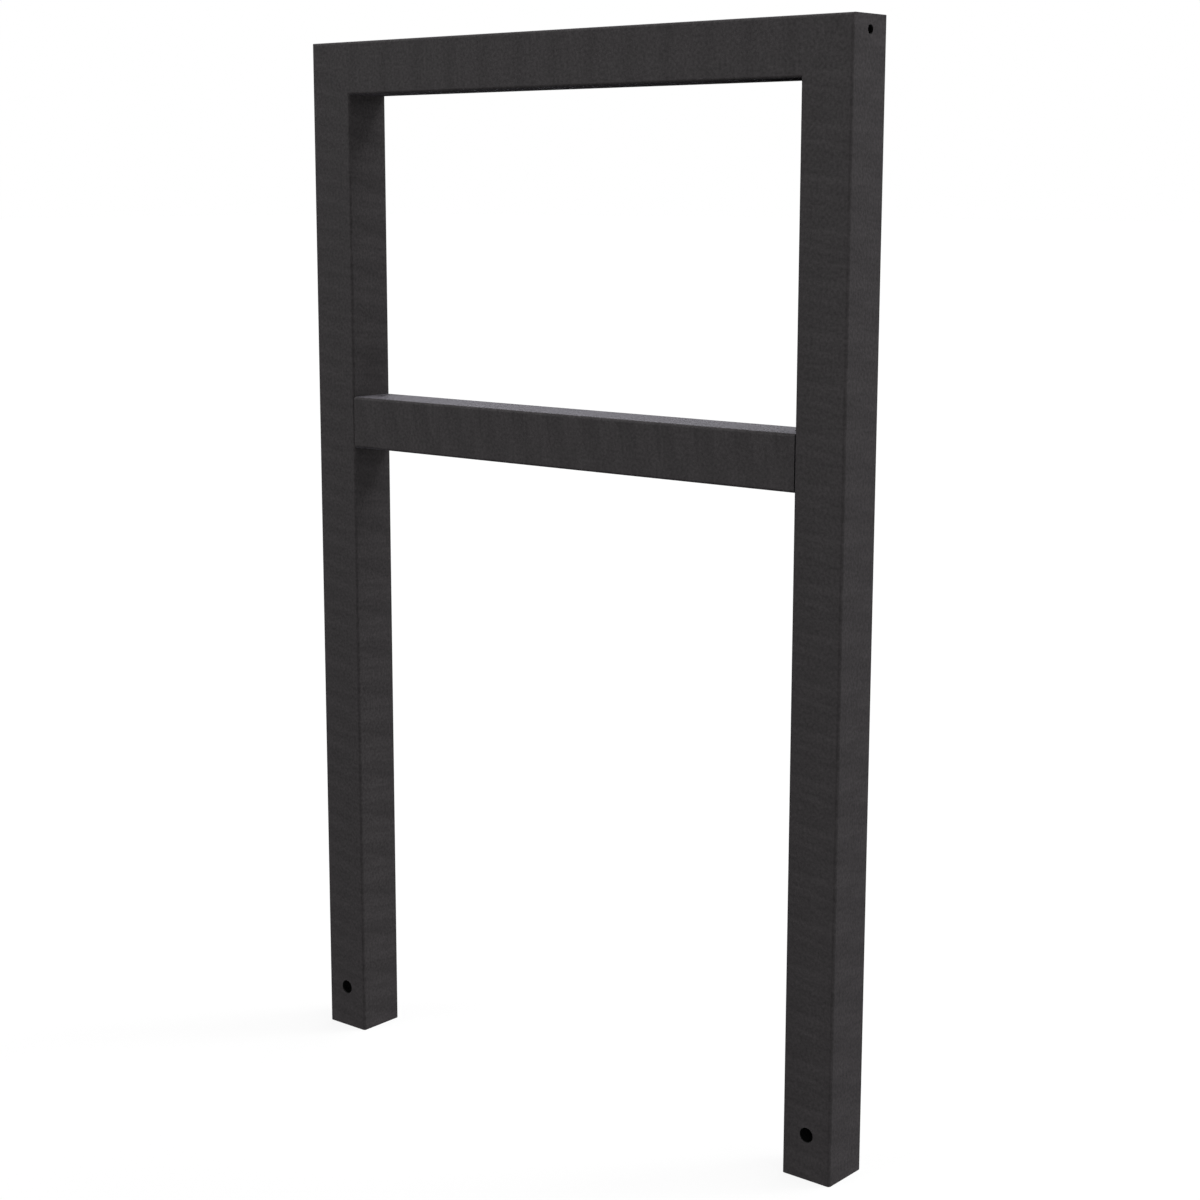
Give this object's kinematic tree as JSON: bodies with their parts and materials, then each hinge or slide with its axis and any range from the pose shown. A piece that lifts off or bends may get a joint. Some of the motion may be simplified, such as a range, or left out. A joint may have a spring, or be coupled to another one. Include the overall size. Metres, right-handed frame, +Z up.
{
  "type": "hoop barrier with crossbar",
  "caption": "Rectangular hoop barrier of coated square steel tube, mitred at the top corners, with a crossbar and anchor holes near the feet of its posts.",
  "frame": {"origin": "middle of the left post's open foot end, seen from the front", "axes": "+X along the barrier from the left post to the right post, +Y from the front to the rear, +Z up along the posts"},
  "size_m": [0.75, 0.06, 1.2],
  "materials": {
    "coated_steel": "matte, fine-textured anthracite powder coat",
    "coated_weld": "ground flush under the same powder coat"
  },
  "bodies": {
    "root": {"left_post": "coated_steel", "right_post": "coated_steel", "top_rail": "coated_steel", "crossbar": "coated_steel", "left_mitre_weld": "coated_weld", "right_mitre_weld": "coated_weld"}
  },
  "joints": []
}
